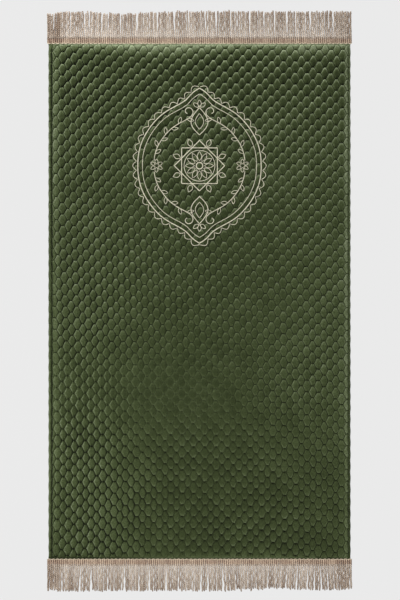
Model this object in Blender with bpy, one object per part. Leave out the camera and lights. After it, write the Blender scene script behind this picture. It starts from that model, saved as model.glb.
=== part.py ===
"""Prayer rug: a quilted velvet panel with a fringed trim across each end.

Metres, +Z up. The rug lies flat, its underside on z = 0, its middle over the
origin. +Y runs along the rug to the end that carries the stitched ornament.
"""

import math
import random

import bmesh
import bpy

# Panel
PANEL_WIDTH = 0.650
PANEL_LENGTH = 1.120
HEM_WIDTH = 0.0110
HEM_CREST_INSET = 0.0055
HEM_CREST_Z = 0.0050
HEM_EDGE_Z = 0.0026
SEAM_Z = 0.0032
END_SEAM_Y = 0.5500
MARGIN_START_Y = 0.5512
MARGIN_Z = 0.0020
HEM_TAPER_Y = 0.5380
HEM_STATIONS = 12
END_STATIONS = 8

# Quilting: puffed cells in rows half a cell apart, deepest where four cells meet
CELL_WIDTH = 0.02467
CELL_HEIGHT = 0.02478
CROWN_Z = 0.0085
CROWN_SPREAD = 0.0004
GROOVE_Z = 0.0046
ROLL_OFF = 0.0100
SNAP = 0.0025

# How far the stitched pattern has drifted on the cloth, in millimetres, at four
# places along the rug and three across it
DRIFT_SPAN_X = 0.3003
DRIFT_RIGHT = (
    # along, left, middle, right
    (0.5363, 4.84, 6.73, 12.97),
    (0.1788, 2.79, 4.49, 8.80),
    (-0.1788, 12.56, 2.16, 6.40),
    (-0.5363, 9.85, 0.92, -2.31),
)
DRIFT_UP = (
    # along, left, middle, right
    (0.5363, 1.58, -12.63, -18.14),
    (0.1788, 0.26, -7.62, -16.60),
    (-0.1788, -4.31, -5.92, -12.67),
    (-0.5363, -18.01, -3.45, -18.46),
)

# Fringed trim: a ribbed heading over the panel's end margin, one strand to a rib
TRIM_WIDTH = 0.653
HEADING_START_Y = 0.5518
HEADING_DEPTH = 0.0150
HEADING_THICKNESS = 0.0016
CLEARANCE = 0.0003
RIBS = 146
RIBS_PER_FACE = 10
STRAND_WIDTH = 0.0032
STRAND_HEIGHT = 0.0024
STRAND_DROP = 0.0140
RUG_HALF_LENGTH = 0.6220
STRAND_SHORTFALL = 0.0045
STRAND_LEAN = 0.0004
LONGEST_STRAND = 20

MATERIALS = (
    # name, red, green, blue, roughness
    ("green_velvet", 0.051, 0.065, 0.027, 0.90),
    ("sand_cord", 0.42, 0.35, 0.30, 0.80),
)


def clear_objects():
    """Empty the scene."""
    for item in list(bpy.data.objects):
        bpy.data.objects.remove(item, do_unlink=True)


def make_materials():
    """One Principled material for each finish, by name."""
    made = {}
    for name, red, green, blue, roughness in MATERIALS:
        material = bpy.data.materials.new(name)
        material.use_nodes = True
        shader = material.node_tree.nodes["Principled BSDF"]
        shader.inputs["Base Color"].default_value = (red, green, blue, 1.0)
        shader.inputs["Roughness"].default_value = roughness
        shader.inputs["Metallic"].default_value = 0.0
        made[name] = material
    return made


def add_object(name, bm, material):
    """Turn a bmesh into a named object with one material."""
    bmesh.ops.recalc_face_normals(bm, faces=bm.faces)
    mesh = bpy.data.meshes.new(name)
    bm.to_mesh(mesh)
    bm.free()
    mesh.materials.append(material)
    item = bpy.data.objects.new(name, mesh)
    bpy.context.scene.collection.objects.link(item)
    return item


def lagrange(places, values, at):
    """Value at one place of the smooth curve through the given points."""
    total = 0.0
    for own, value in zip(places, values):
        weight = 1.0
        for other in places:
            if other != own:
                weight *= (at - other) / (own - other)
        total += weight * value
    return total


def drift(table, x, y):
    """Drift of the stitched pattern at a point, in metres."""
    across = (-DRIFT_SPAN_X, 0.0, DRIFT_SPAN_X)
    places = [row[0] for row in table]
    values = [lagrange(across, row[1:], x) for row in table]
    return lagrange(places, values, y) / 1000.0


def quilt_point(column, row):
    """Place of one point of the quilting, a cell's middle or a meeting of four."""
    plain_x = column * CELL_WIDTH / 2
    plain_y = row * CELL_HEIGHT / 2
    x, y = plain_x, plain_y
    for _ in range(4):
        x, y = (plain_x + drift(DRIFT_RIGHT, x, y),
                plain_y + drift(DRIFT_UP, x, y))
    return x, y


def snapped(value, edge):
    """Move a coordinate onto the seam where it lies very close to it."""
    if abs(abs(value) - edge) < SNAP:
        return math.copysign(edge, value)
    return value


def quilted_field(bm, seam_x, seam_y):
    """Raised quilting, cut off along the seams around it."""
    rng = random.Random(11)
    columns = int(seam_x / (CELL_WIDTH / 2)) + 4
    rows = int(seam_y / (CELL_HEIGHT / 2)) + 4
    points = {}
    for column in range(-columns, columns + 1):
        for row in range(-rows, rows + 1):
            x, y = quilt_point(column, row)
            z = GROOVE_Z
            if (column + row) % 2 == 0:
                z = CROWN_Z + rng.uniform(-CROWN_SPREAD, CROWN_SPREAD)
            place = (snapped(x, seam_x), snapped(y, seam_y), z)
            points[column, row] = bm.verts.new(place)
    for column in range(-columns, columns):
        for row in range(-rows, rows):
            corners = [points[column, row], points[column + 1, row],
                       points[column + 1, row + 1], points[column, row + 1]]
            if (column + row) % 2:
                corners = corners[1:] + corners[:1]
            one, two, three, four = corners
            bm.faces.new((one, two, four))
            bm.faces.new((two, three, four))
    for axis, edge in ((0, seam_x), (1, seam_y)):
        for side in (-1, 1):
            normal = [0.0, 0.0, 0.0]
            normal[axis] = side
            middle = [side * edge * part for part in (axis == 0, axis == 1)]
            bmesh.ops.bisect_plane(
                bm, geom=bm.verts[:] + bm.edges[:] + bm.faces[:], dist=1e-5,
                plane_co=(middle[0], middle[1], 0.0), plane_no=normal,
                clear_outer=True)
    bmesh.ops.triangulate(bm, faces=bm.faces[:])
    for vert in bm.verts:
        inset = min(seam_x - abs(vert.co.x), seam_y - abs(vert.co.y))
        share = min(1.0, max(0.0, inset) / ROLL_OFF)
        if inset < 1e-5:
            share = 0.0
        vert.co.z = SEAM_Z + (vert.co.z - SEAM_Z) * share


def spread(start, end, count):
    """Evenly spaced values from start to end, both included."""
    return [start + (end - start) * step / count for step in range(count + 1)]


def ring_places(half_x, half_y, side_z, corner_z):
    """Points once around a rectangle, lower along its ends and corners.

    Returns four runs, each from one corner to the next.
    """
    taper = HEM_TAPER_Y
    side = [-half_y] + spread(-taper, taper, HEM_STATIONS) + [half_y]
    end = spread(-half_x, half_x, END_STATIONS)
    right = [(half_x, y, side_z) for y in side]
    left = [(-half_x, y, side_z) for y in reversed(side)]
    for run in (right, left):
        run[0] = run[0][:2] + (corner_z,)
        run[-1] = run[-1][:2] + (corner_z,)
    top = [(x, half_y, corner_z) for x in reversed(end)]
    bottom = [(x, -half_y, corner_z) for x in end]
    return [right, top, left, bottom]


def make_ring(bm, places):
    """Vertices for the runs of a ring, the corners shared."""
    runs = []
    corners = [bm.verts.new(run[0]) for run in places]
    for number, run in enumerate(places):
        inner = [bm.verts.new(place) for place in run[1:-1]]
        runs.append([corners[number]] + inner + [corners[(number + 1) % 4]])
    return runs


def zip_runs(bm, inner, outer, axis):
    """Join two rows of points along one axis with triangles."""
    a, b = 0, 0
    way = 1 if outer[-1].co[axis] > outer[0].co[axis] else -1
    while a < len(inner) - 1 or b < len(outer) - 1:
        next_a = inner[a + 1].co[axis] * way if a < len(inner) - 1 else math.inf
        next_b = outer[b + 1].co[axis] * way if b < len(outer) - 1 else math.inf
        if next_a <= next_b:
            bm.faces.new((inner[a], outer[b], inner[a + 1]))
            a += 1
        else:
            bm.faces.new((inner[a], outer[b], outer[b + 1]))
            b += 1


def bridge_rings(bm, inner, outer):
    """Join two rings that have the same number of points with quads."""
    for run_in, run_out in zip(inner, outer):
        for step in range(len(run_in) - 1):
            bm.faces.new((run_in[step], run_out[step],
                          run_out[step + 1], run_in[step + 1]))


def seam_runs(bm, seam_x, seam_y):
    """The cut edge of the quilting as four sorted runs, like a ring's."""
    runs = []
    for axis, edge, side in ((0, seam_x, 1), (1, seam_y, 1),
                             (0, seam_x, -1), (1, seam_y, -1)):
        on_line = [vert for vert in bm.verts
                   if abs(vert.co[axis] - side * edge) < 1e-5]
        way = side if axis == 0 else -side
        on_line.sort(key=lambda vert: vert.co[1 - axis] * way)
        runs.append(on_line)
    return runs


def build_panel(material):
    """The quilted cloth with its side hems and its thin end margins."""
    half_width = PANEL_WIDTH / 2
    seam_x = half_width - HEM_WIDTH
    bm = bmesh.new()
    quilted_field(bm, seam_x, END_SEAM_Y)
    seam = seam_runs(bm, seam_x, END_SEAM_Y)
    crest = make_ring(bm, ring_places(half_width - HEM_CREST_INSET,
                                      MARGIN_START_Y, HEM_CREST_Z, MARGIN_Z))
    rim = make_ring(bm, ring_places(half_width, PANEL_LENGTH / 2,
                                    HEM_EDGE_Z, MARGIN_Z))
    base = make_ring(bm, ring_places(half_width, PANEL_LENGTH / 2, 0.0, 0.0))
    for number in range(4):
        zip_runs(bm, seam[number], crest[number], 1 - number % 2)
    bridge_rings(bm, crest, rim)
    bridge_rings(bm, rim, base)
    base_edges = []
    for run in base:
        for start, end in zip(run, run[1:]):
            base_edges.append(bm.edges.get((start, end)))
    bmesh.ops.triangle_fill(bm, edges=base_edges, use_beauty=True)
    bmesh.ops.triangulate(bm, faces=bm.faces[:])
    return add_object("quilted_panel", bm, material)


def strand_sections(number, rng):
    """The three cross-sections of one strand: root, bend and tip."""
    pitch = TRIM_WIDTH / RIBS
    x = (number + 0.5) * pitch - TRIM_WIDTH / 2
    root_y = HEADING_START_Y + HEADING_DEPTH
    tip_y = RUG_HALF_LENGTH
    if number != LONGEST_STRAND:
        tip_y -= rng.uniform(0.0, STRAND_SHORTFALL)
    lean = rng.uniform(-STRAND_LEAN, STRAND_LEAN)
    heading_z = MARGIN_Z + CLEARANCE
    stations = (
        # x, y, underside z, height
        (x, root_y, heading_z, HEADING_THICKNESS),
        (x + 0.3 * lean, root_y + STRAND_DROP, 0.0, STRAND_HEIGHT),
        (x + lean, tip_y, 0.0, STRAND_HEIGHT),
    )
    half = STRAND_WIDTH / 2
    sections = []
    for place_x, place_y, under, height in stations:
        sections.append(((place_x - half, place_y, under),
                         (place_x, place_y, under + height),
                         (place_x + half, place_y, under)))
    return sections


def add_strand(bm, number, rng):
    """One strand, open at its root, whose three root points it returns."""
    sections = [[bm.verts.new(place) for place in section]
                for section in strand_sections(number, rng)]
    for near, far in zip(sections, sections[1:]):
        for side in range(3):
            after = (side + 1) % 3
            bm.faces.new((near[side], far[side], far[after], near[after]))
    bm.faces.new(sections[-1])
    return sections[0]


def heading_cuts():
    """Numbers of the strands at which the heading's faces are divided."""
    return list(range(0, RIBS, RIBS_PER_FACE)) + [RIBS - 1]


def build_trim_mesh(bm):
    """The heading with its strands grown out of its outer edge."""
    rng = random.Random(5)
    low_z = MARGIN_Z + CLEARANCE
    high_z = low_z + HEADING_THICKNESS
    inner_y = HEADING_START_Y
    outer_y = HEADING_START_Y + HEADING_DEPTH
    half = TRIM_WIDTH / 2
    roots = [add_strand(bm, number, rng) for number in range(RIBS)]
    for left, right in zip(roots, roots[1:]):
        bm.faces.new((left[1], left[2], right[0], right[1]))
    ends = []
    for side, root in ((-1, roots[0]), (1, roots[-1])):
        low = bm.verts.new((side * half, outer_y, low_z))
        high = bm.verts.new((side * half, outer_y, high_z))
        near = root[0] if side < 0 else root[2]
        bm.faces.new((low, high, root[1], near))
        ends.append((low, high))
    low_line = [ends[0][0]]
    high_line = [ends[0][1]]
    for root in roots:
        low_line += [root[0], root[2]]
        high_line.append(root[1])
    low_line.append(ends[1][0])
    high_line.append(ends[1][1])
    inner_low, inner_high = [], []
    for number in heading_cuts():
        x = roots[number][1].co.x
        if number in (0, RIBS - 1):
            x = math.copysign(half, x)
        inner_low.append(bm.verts.new((x, inner_y, low_z)))
        inner_high.append(bm.verts.new((x, inner_y, high_z)))
    zip_runs(bm, low_line, inner_low, 0)
    zip_runs(bm, high_line, inner_high, 0)
    for step in range(len(inner_low) - 1):
        bm.faces.new((inner_low[step], inner_low[step + 1],
                      inner_high[step + 1], inner_high[step]))
    for (low, high), number in ((ends[0], 0), (ends[1], -1)):
        bm.faces.new((low, high, inner_high[number], inner_low[number]))


def build_trims(material):
    """The trim at each end, the second one the first turned half round."""
    bm = bmesh.new()
    build_trim_mesh(bm)
    bmesh.ops.triangulate(bm, faces=bm.faces[:])
    top = add_object("fringe_trim_top", bm, material)
    bottom = bpy.data.objects.new("fringe_trim_bottom", top.data)
    bottom.rotation_euler = (0.0, 0.0, math.pi)
    bpy.context.scene.collection.objects.link(bottom)


def main():
    """Build the rug."""
    clear_objects()
    materials = make_materials()
    build_panel(materials["green_velvet"])
    build_trims(materials["sand_cord"])


main()
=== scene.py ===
"""Looks of the prayer rug: quilted velvet, embroidery, corded fringe trims and studio."""

import logging
import math
import random
from collections.abc import Callable
from dataclasses import dataclass, field
from enum import Enum, IntEnum

import bmesh
import bpy
import numpy as np
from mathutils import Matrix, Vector, noise
from mathutils.bvhtree import BVHTree

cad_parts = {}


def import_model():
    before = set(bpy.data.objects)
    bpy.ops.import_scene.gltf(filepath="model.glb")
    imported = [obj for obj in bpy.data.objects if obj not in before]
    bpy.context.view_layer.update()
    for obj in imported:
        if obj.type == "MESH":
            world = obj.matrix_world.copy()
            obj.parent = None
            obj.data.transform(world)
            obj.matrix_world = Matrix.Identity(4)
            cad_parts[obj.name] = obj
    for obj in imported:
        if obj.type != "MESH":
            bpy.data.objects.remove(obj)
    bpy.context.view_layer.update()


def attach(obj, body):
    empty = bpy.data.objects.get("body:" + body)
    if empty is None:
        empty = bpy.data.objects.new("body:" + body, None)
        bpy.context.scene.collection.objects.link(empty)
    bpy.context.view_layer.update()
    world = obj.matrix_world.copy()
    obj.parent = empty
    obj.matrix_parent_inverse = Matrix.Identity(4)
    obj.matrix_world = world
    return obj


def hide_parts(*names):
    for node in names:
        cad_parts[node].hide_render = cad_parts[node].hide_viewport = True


logging.basicConfig(level=logging.INFO, format="%(message)s")
LOG = logging.getLogger("prayer_rug")

MM = 0.001
# The photograph's scale, from the cloth's 303 pixels for 650 mm
METRES_PER_PIXEL = 0.0021452
CELL_WIDTH = 24.67 * MM
CELL_HEIGHT = 24.78 * MM
DOWN = Vector((0.0, 0.0, -1.0))
Flat = tuple[float, float]
Point = tuple[float, float, float]


class Slot(Enum):
    """Material slots of the record."""

    VELVET = "green_velvet"
    CORD = "sand_cord"


class End(Enum):
    """The two ends of the rug, by the way they face along Y."""

    TOP = 1
    BOTTOM = -1


class Spot(IntEnum):
    """What a point on a cell's outline is."""

    CORNER = 0
    SLANT = 1
    BAR = 2


def clamped(value: float) -> float:
    """Keep a value between 0 and 1."""
    return min(1.0, max(0.0, value))


def bell(at: float, middle: float, spread: float) -> float:
    """Read a smooth hump that is 1 in its middle.

    Args:
        at: the place to read.
        middle: where the hump is highest.
        spread: how far from there it has sunk to about a third.

    Returns:
        The hump's height there.
    """
    return math.exp(-((at - middle) / spread) ** 2)


def eased(share: float) -> float:
    """Turn an even share of a way into one that starts and ends gently."""
    return share * share * (3 - 2 * share)


def linear(colour: str) -> tuple[float, float, float, float]:
    """Turn an sRGB hex colour into the linear values a shader takes.

    Args:
        colour: six hex digits, such as "40482E".

    Returns:
        Red, green, blue and a full alpha.
    """
    channels = []
    for start in (0, 2, 4):
        value = int(colour[start:start + 2], 16) / 255.0
        if value <= 0.04045:
            channels.append(value / 12.92)
        else:
            channels.append(((value + 0.055) / 1.055) ** 2.4)
    return channels[0], channels[1], channels[2], 1.0


def add_node(tree: bpy.types.NodeTree, kind: str, settings: dict | None = None,
             links: dict | None = None, stops: tuple = ()) -> bpy.types.Node:
    """Add one shader node with its settings and links.

    Args:
        tree: the material's node tree.
        kind: the node's type name, without the word ShaderNode before it.
        settings: values for its properties, or for its inputs by name or number.
        links: what feeds its inputs, by input name or number: an output socket, or a
            node for its first output.
        stops: position and sRGB hex of both stops, where it is a colour ramp.

    Returns:
        The new node.
    """
    node = tree.nodes.new("ShaderNode" + kind)
    for name, value in (settings or {}).items():
        if isinstance(name, str) and hasattr(node, name):
            setattr(node, name, value)
        else:
            node.inputs[name].default_value = value
    for name, source in (links or {}).items():
        socket = source.outputs[0] if isinstance(source, bpy.types.Node) else source
        tree.links.new(socket, node.inputs[name])
    for number, (place, colour) in enumerate(stops):
        node.color_ramp.elements[number].position = place
        node.color_ramp.elements[number].color = linear(colour)
    return node


def new_material(name: str) -> tuple[bpy.types.Material, bpy.types.NodeTree]:
    """Make a material with an empty node tree.

    Args:
        name: the finish's name.

    Returns:
        The material and its tree.
    """
    material = bpy.data.materials.new(name)
    material.use_nodes = True
    material.node_tree.nodes.clear()
    return material, material.node_tree


@dataclass(frozen=True)
class PileVelvet:
    """Short cut pile velvet, dark in its grooves and pale on its slopes by painted shade and painted
    highlights.
    """

    # groove is the painted shade colour at the lowest points of the quilting
    groove: str = "1A200C"
    face: str = "353E22"
    # the painted highlight colour that the lightest painted pile turns to
    highlight_grey: str = "3A3F30"
    sheen: str = "C9D3B4"
    fibre_mm: float = 2.6
    brushing_mm: float = 55.0
    # how full the padding is where the painted groove shade has ended
    groove_shade_end: float = 0.22
    # what a pattern's 0 to 1 is multiplied by, then what is added, to shade the colour
    brushing_shade: Flat = (0.50, 0.75)
    fibre_shade: Flat = (2.6, -0.30)
    # how light the painted pile is where it starts to turn to the painted highlight grey, and where it is
    # all grey
    greying: Flat = (0.8, 4.0)

    def build(self) -> bpy.types.Material:
        """Make the velvet.

        Returns:
            The material.
        """
        material, tree = new_material("cut_pile_velvet_green")
        place = add_node(tree, "TexCoord").outputs["Object"]
        puff = add_node(tree, "Attribute", {"attribute_name": "puff"}).outputs["Fac"]
        # The tone layer holds each cell's own tone times the panel's painted light and shade
        tone = add_node(tree, "Attribute", {"attribute_name": "tone"}).outputs["Fac"]
        # Painted shade at the short bars, the cell corners and the side seams, where the padding is
        # lowest; else the even face of the pile
        colour = add_node(tree, "ValToRGB", links={"Fac": puff},
                          stops=((0.0, self.groove), (self.groove_shade_end, self.face)))
        # Brushed pile: broad soft patches a few fingers across
        brushing = add_node(tree, "TexNoise",
                            {"Scale": 1.0 / (self.brushing_mm * MM), "Detail": 3.0},
                            {"Vector": place})
        # Fibre tufts: half a millimetre, drawn coarser so that they show as a soft grain
        fibre = add_node(tree, "TexNoise",
                         {"Scale": 1.0 / (self.fibre_mm * MM), "Detail": 3.0, "Roughness": 0.75},
                         {"Vector": place})
        shades = []
        for pattern, (factor, more) in ((brushing, self.brushing_shade),
                                        (fibre, self.fibre_shade)):
            shades.append(add_node(tree, "Math",
                                   {"operation": "MULTIPLY_ADD", 1: factor, 2: more},
                                   {0: pattern}))
        both = add_node(tree, "Math", {"operation": "MULTIPLY"}, {0: shades[0], 1: shades[1]})
        each = add_node(tree, "Math", {"operation": "MULTIPLY"}, {0: both, 1: tone})
        # Where the pile is painted lighter it is painted greyer too, as a painted sheen
        grey = add_node(tree, "MapRange", {1: self.greying[0], 2: self.greying[1]},
                        {"Value": each})
        hue = add_node(tree, "Mix", {"data_type": "RGBA", 7: linear(self.highlight_grey)},
                       {0: grey, 6: colour})
        tinted = add_node(tree, "VectorMath", {"operation": "SCALE"},
                          {0: hue.outputs[2], "Scale": each})
        bump = add_node(tree, "Bump", {"Strength": 0.4, "Distance": 0.3 * MM}, {"Height": fibre})
        shader = add_node(tree, "BsdfPrincipled",
                          {"Roughness": 0.92, "Specular IOR Level": 0.12,
                           "Sheen Weight": 0.25, "Sheen Roughness": 0.40,
                           "Sheen Tint": linear(self.sheen)},
                          {"Base Color": tinted, "Normal": bump})
        add_node(tree, "OutputMaterial", links={"Surface": shader})
        return material


@dataclass(frozen=True)
class PlainBacking:
    """Plain woven cotton backing: flat and dry, with the quilting's stitch lines."""

    # seam is the painted shade colour at the bottom of the stitch grooves
    seam: str = "20270F"
    colour: str = "3A4427"
    thread_mm: float = 1.2
    # a Wave texture draws this many bands to a unit of its scale
    bands: float = 20.0
    # where a stitch line's groove starts and ends, in shares of a cell from its middle
    groove: Flat = (0.40, 0.48)
    weave_depth: float = 0.25

    def build(self) -> bpy.types.Material:
        """Make the backing cloth.

        Returns:
            The material.
        """
        material, tree = new_material("plain_weave_backing_green")
        place = add_node(tree, "TexCoord").outputs["Object"]
        # Weave: threads of half a millimetre, drawn coarser so that they show
        waves = [add_node(tree, "TexWave",
                          {"bands_direction": direction, "Distortion": 0.6,
                           "Scale": 1.0 / (self.thread_mm * MM) / self.bands},
                          {"Vector": place}).outputs["Fac"] for direction in ("X", "Y")]
        weave = add_node(tree, "Math", {"operation": "MULTIPLY"}, {0: waves[0], 1: waves[1]})
        # Diagonal stitch lines, one family each way, where the cells meet
        lines = []
        for way in (1, -1):
            along = add_node(tree, "VectorMath",
                             {"operation": "DOT_PRODUCT",
                              1: (1.0 / CELL_WIDTH, way / CELL_HEIGHT, 0.0)}, {0: place})
            lines.append(add_node(tree, "Math", {"operation": "PINGPONG", 1: 0.5},
                                  {0: along.outputs["Value"]}))
        nearest = add_node(tree, "Math", {"operation": "MAXIMUM"}, {0: lines[0], 1: lines[1]})
        depth = add_node(tree, "MapRange",
                         {1: self.groove[0], 2: self.groove[1], 3: 1.0, 4: 0.0},
                         {"Value": nearest})
        height = add_node(tree, "Math", {"operation": "MULTIPLY_ADD", 1: self.weave_depth},
                          {0: weave, 2: depth})
        # The colour follows the height: painted shade in the stitch grooves and the weave's low threads
        colour = add_node(tree, "ValToRGB", links={"Fac": height},
                          stops=((0.0, self.seam), (0.9, self.colour)))
        bump = add_node(tree, "Bump", {"Strength": 0.5, "Distance": 0.8 * MM},
                        {"Height": height})
        shader = add_node(tree, "BsdfPrincipled", {"Roughness": 0.9},
                          {"Base Color": colour, "Normal": bump})
        add_node(tree, "OutputMaterial", links={"Surface": shader})
        return material


@dataclass(frozen=True)
class PlyYarn:
    """Yarn of a few plies: matt, each ply round, with a painted highlight on its crown."""

    name: str
    dark: str
    light: str
    plies: int = 2
    twist_mm: float = 4.4
    relief_mm: float = 0.5
    mottle_mm: float = 1.6
    # how much the mottle and the painted light and shade of the plies lighten and darken, and what is
    # taken off again
    mottle: float = 1.3
    crown: float = 0.14
    level: float = 0.65

    def build(self) -> bpy.types.Material:
        """Make the yarn.

        Returns:
            The material.
        """
        material, tree = new_material(self.name)
        coordinates = add_node(tree, "TexCoord")
        tone = add_node(tree, "Attribute", {"attribute_name": "tone"}).outputs["Fac"]
        # Plies: stripes that wind round the yarn, from its own UV, in turns and metres
        winding = add_node(tree, "VectorMath",
                           {"operation": "DOT_PRODUCT",
                            1: (math.tau * self.plies, math.tau / (self.twist_mm * MM), 0.0)},
                           {0: coordinates.outputs["UV"]})
        ply = add_node(tree, "Math", {"operation": "SINE"}, {0: winding.outputs["Value"]})
        # Loose fibres: finer than they show, drawn as a mottle of a millimetre or two
        fibre = add_node(tree, "TexNoise",
                         {"Scale": 1.0 / (self.mottle_mm * MM), "Detail": 3.0, "Roughness": 0.7},
                         {"Vector": coordinates.outputs["Object"]})
        mottled = add_node(tree, "Math", {"operation": "MULTIPLY_ADD", 1: self.mottle},
                           {0: fibre, 2: tone})
        # Painted highlight on each ply's crown and painted shade between the plies
        banded = add_node(tree, "Math", {"operation": "MULTIPLY_ADD", 1: self.crown},
                          {0: ply, 2: mottled})
        shifted = add_node(tree, "Math", {"operation": "SUBTRACT", 1: self.level}, {0: banded})
        colour = add_node(tree, "ValToRGB", links={"Fac": shifted},
                          stops=((0.0, self.dark), (1.0, self.light)))
        bump = add_node(tree, "Bump", {"Strength": 0.6, "Distance": self.relief_mm * MM},
                        {"Height": ply})
        shader = add_node(tree, "BsdfPrincipled",
                          {"Roughness": 0.75, "Specular IOR Level": 0.2,
                           "Sheen Weight": 0.15, "Sheen Roughness": 0.5},
                          {"Base Color": colour, "Normal": bump})
        add_node(tree, "OutputMaterial", links={"Surface": shader})
        return material


@dataclass(frozen=True)
class PaleFloor:
    """Matt pale floor paint: it gives off its own tone, so that it stays even all round."""

    colour: str = "151515"
    glow: str = "EAEAEA"
    strength: float = 0.99

    def build(self) -> bpy.types.Material:
        """Make the floor paint.

        Returns:
            The material.
        """
        material, tree = new_material("matt_paint_pale_grey")
        shader = add_node(tree, "BsdfPrincipled",
                          {"Base Color": linear(self.colour), "Roughness": 0.95,
                           "Specular IOR Level": 0.0, "Emission Color": linear(self.glow),
                           "Emission Strength": self.strength})
        add_node(tree, "OutputMaterial", links={"Surface": shader})
        return material


def finish_piece(mesh: bpy.types.Mesh, name: str, materials: list[bpy.types.Material]) -> bpy.types.Object:
    """Put a finished mesh in the scene as a piece of the rug.

    Args:
        mesh: the mesh, in the rug's own frame.
        name: the piece's name.
        materials: its finishes, in the order of its faces' numbers.

    Returns:
        The new object.
    """
    mesh.name = name
    for material in materials:
        mesh.materials.append(material)
    piece = bpy.data.objects.new(name, mesh)
    bpy.context.scene.collection.objects.link(piece)
    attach(piece, "root")
    triangles = sum(len(face.vertices) - 2 for face in mesh.polygons)
    LOG.info("%s: %d points, %d triangles", name, len(mesh.vertices), triangles)
    return piece


def set_attribute(mesh: bpy.types.Mesh, name: str, values: np.ndarray) -> None:
    """Store one number for each point of a mesh.

    Args:
        mesh: the mesh.
        name: the attribute's name.
        values: one value for each point.
    """
    attribute = mesh.attributes.new(name, "FLOAT", "POINT")
    attribute.data.foreach_set("value", np.asarray(values, dtype=np.float32))


@dataclass
class TubeMaker:
    """Collects many thin closed tubes as one mesh, with a UV along each."""

    points: list[Point] = field(default_factory=list)
    faces: list[tuple[int, ...]] = field(default_factory=list)
    corners: list[Flat] = field(default_factory=list)
    tones: list[float] = field(default_factory=list)

    def add(self, sections: list[list[Point]], tones: list[list[float]],
            start: float = 0.0) -> None:
        """Add one tube through rings of points, closed at both ends.

        Args:
            sections: rings with the same number of points, each going round
                anticlockwise for one who looks along the tube.
            tones: light or dark value of each ring's points.
            start: where its UV starts, in metres.
        """
        first = len(self.points)
        sides = len(sections[0])
        along = start
        for number, (section, values) in enumerate(zip(sections, tones)):
            self.points.extend(section)
            self.tones.extend(values)
            if number == 0:
                continue
            before = sections[number - 1][0]
            after = along + math.dist(before, section[0])
            base = first + (number - 1) * sides
            for side in range(sides):
                onward = (side + 1) % sides
                self.faces.append((base + side, base + sides + side,
                                   base + sides + onward, base + onward))
                low, high = side / sides, (side + 1) / sides
                self.corners += [(low, along), (low, after), (high, after), (high, along)]
            along = after
        last = first + (len(sections) - 1) * sides
        self.faces.append(tuple(range(first, first + sides)))
        self.faces.append(tuple(range(last + sides - 1, last - 1, -1)))
        self.corners += [(0.0, start)] * sides + [(0.0, along)] * sides

    def build(self) -> bpy.types.Mesh:
        """Turn what was collected into a mesh.

        Returns:
            The mesh, with its UV and its light and dark values.
        """
        mesh = bpy.data.meshes.new("tubes")
        mesh.from_pydata(self.points, [], self.faces)
        layer = mesh.uv_layers.new(name="along")
        layer.data.foreach_set("uv", np.array(self.corners, dtype=np.float32).ravel())
        set_attribute(mesh, "tone", np.array(self.tones))
        mesh.shade_smooth()
        return mesh


@dataclass
class Quilting:
    """The stitched pattern: rounded cells in columns half a cell apart."""

    # length of the short bars between the cells of a column, and how far stitches stray
    bar: float = 4.8 * MM
    wander: float = 0.55 * MM
    # how far from the middle the drift at the left and right was read
    span: float = 300.3 * MM
    # metres along the rug, then the drift at the left, middle and right, in millimetres
    drift_right: tuple[tuple[float, ...], ...] = (
        (0.5363, 3.81, 5.19, 10.91),
        (0.1788, 2.79, 2.95, 7.26),
        (-0.1788, 14.62, 9.36, 7.94),
        (-0.5363, 13.96, 11.2, 6.95),
    )
    drift_up: tuple[tuple[float, ...], ...] = (
        (0.5363, 1.58, -15.2, -19.17),
        (0.1788, 0.26, -7.62, -17.6),
        (-0.1788, 0.33, -1.8, -11.64),
        (-0.5363, -12.86, -4.48, -18.46),
    )

    @staticmethod
    def through(places: tuple[float, ...], values: list[float], at: float) -> float:
        """Read a smooth curve through a few points.

        Args:
            places: where the points are.
            values: their values.
            at: the place to read.

        Returns:
            The curve's value there.
        """
        total = 0.0
        for own, value in zip(places, values):
            weight = 1.0
            for other in places:
                if other != own:
                    weight *= (at - other) / (own - other)
            total += weight * value
        return total

    def drift(self, x: float, y: float) -> Flat:
        """Say how far the pattern has drifted at a point.

        Args:
            x: place across the rug.
            y: place along the rug.

        Returns:
            The drift to the right and upwards, in metres.
        """
        across = (-self.span, 0.0, self.span)
        moved = []
        for table in (self.drift_right, self.drift_up):
            along = tuple(row[0] for row in table)
            values = [self.through(across, list(row[1:]), x) for row in table]
            moved.append(self.through(along, values, y) * MM)
        return moved[0], moved[1]

    def place(self, column: float, row: float, shift: float = 0.0) -> Flat:
        """Find a point of the pattern on the cloth.

        Args:
            column: half cell widths from the middle.
            row: half cell heights from the middle.
            shift: further metres to the right.

        Returns:
            Its x and y.
        """
        plain_x = column * CELL_WIDTH / 2 + shift
        plain_y = row * CELL_HEIGHT / 2
        x, y = plain_x, plain_y
        # The drift is read where the point ends up, so it is found in a few rounds
        for _ in range(3):
            right, up = self.drift(x, y)
            x, y = plain_x + right, plain_y + up
        return x, y


@dataclass(frozen=True)
class PaintedLightPatch:
    """A patch of painted light and shade on the pile, lighter or darker on some of its slopes.

    Its place is in metres, and a spread of 9 reaches over the whole rug. The rest says how
    much lighter it is painted: all over, by a groove, by a short bar, on the stitched line,
    and on slopes that face up, down, left and right.
    """

    middle: Flat
    spread: Flat
    even: float = 0.0
    rim: float = 0.0
    bar: float = 0.0
    line: float = 0.0
    slopes: tuple[float, ...] = (0.0, 0.0, 0.0, 0.0)

    def weight(self, x: float, y: float) -> float:
        """Say how strong the patch is at a place."""
        return bell(x, self.middle[0], self.spread[0]) * bell(y, self.middle[1], self.spread[1])
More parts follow.
